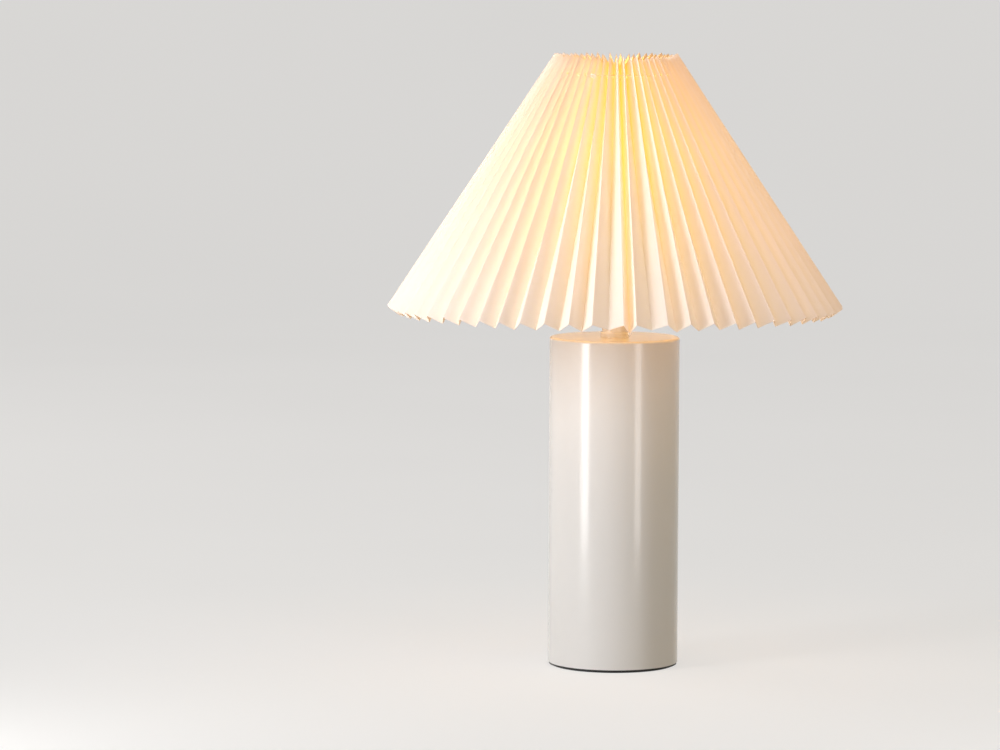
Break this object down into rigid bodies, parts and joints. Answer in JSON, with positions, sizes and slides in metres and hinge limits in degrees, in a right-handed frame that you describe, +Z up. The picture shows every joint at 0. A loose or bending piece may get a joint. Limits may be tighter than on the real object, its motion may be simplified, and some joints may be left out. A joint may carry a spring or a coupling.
{
  "type": "pleated table lamp",
  "caption": "Table lamp with a conical pleated paper shade on a plain gloss drum base, with its holder, bulb, shade carrier, ballast and inner wiring.",
  "frame": {"origin": "middle of the footprint, on the surface that the lamp stands on", "axes": "+Z up along the lamp's axis; -Y is the front; the cord outlet is at the back, +Y"},
  "size_m": [0.3854, 0.3853, 0.5174],
  "materials": {
    "base_paint": "gloss off-white enamel",
    "neck_paint": "gloss off-white enamel",
    "black_steel": "black powder coat",
    "felt": "black pressed felt",
    "cast_iron": "rough casting",
    "zinc_steel": "zinc plated",
    "wire_steel": "white lacquered wire and sheet",
    "black_rubber": "matt",
    "block_plastic": "natural nylon",
    "lead_brown": "smooth insulation",
    "lead_blue": "smooth insulation",
    "holder_plastic": "moulded white",
    "insulator_ceramic": "unglazed",
    "contact_brass": "bright",
    "solder": "dull",
    "bulb_black_glass": "black insulator",
    "cap_aluminium": "bright",
    "bulb_white": "moulded white",
    "bulb_opal": "opal, lit warm white",
    "board_aluminium": "white solder mask",
    "led_phosphor": "phosphor, lit",
    "shade_paper": "pleated white paper, slightly translucent",
    "string_cotton": "twisted cotton"
  },
  "bodies": {
    "base": {"base_body": "base_paint", "base_plate": "black_steel", "felt_pad": "felt", "ballast_ring": "cast_iron", "ballast_screws": "zinc_steel", "threaded_tube": "zinc_steel", "tube_washer": "zinc_steel", "tube_nut": "zinc_steel", "cord_grommet": "black_rubber", "terminal_block": "block_plastic", "terminal_block_screws": "zinc_steel", "block_fixing_screw": "zinc_steel", "live_lead": "lead_brown", "neutral_lead": "lead_blue", "neck_collar": "neck_paint", "neck_tube": "neck_paint", "neck_cap": "zinc_steel", "holder_cap": "holder_plastic", "holder_bush": "zinc_steel", "holder_lock_screw": "zinc_steel", "holder_skirt": "holder_plastic", "holder_insulator": "insulator_ceramic", "holder_terminal_screws": "contact_brass", "centre_contact": "contact_brass", "side_contact": "contact_brass"},
    "shade_ring": {"shade_ring": "holder_plastic"},
    "bulb_dome": {"bulb_diffuser": "bulb_opal"},
    "bulb": {"bulb_eyelet": "solder", "bulb_cap_insulator": "bulb_black_glass", "bulb_cap": "cap_aluminium", "bulb_housing": "bulb_white", "led_board": "board_aluminium", "led_chips": "led_phosphor"},
    "shade": {"carrier_fitter": "wire_steel", "carrier_arms": "wire_steel", "carrier_ring": "wire_steel", "pleated_shade": "shade_paper", "drawstring": "string_cotton"}
  },
  "joints": [
    {"name": "shade_turn", "type": "hinge", "parent": "base", "child": "shade", "pos_m": [0, 0, 0.38235], "axis": [0, 0, 1], "continuous": true},
    {"name": "ring_rise", "type": "slide", "parent": "base", "child": "shade_ring", "axis": [0, 0, 1], "range_m": [0, 0.0215]},
    {"name": "bulb_rise", "type": "slide", "parent": "base", "child": "bulb_dome", "axis": [0, 0, 1], "range_m": [0, 0.02179]},
    {"name": "bulb_turn", "type": "hinge", "parent": "bulb_dome", "child": "bulb", "pos_m": [0, 0, 0.3838], "axis": [0, 0, 1], "range_deg": [0, 2160]}
  ],
  "couplings": [
    {"joint": "bulb_rise", "follows": "bulb_turn", "m_per_rad": 0.00057773}
  ]
}
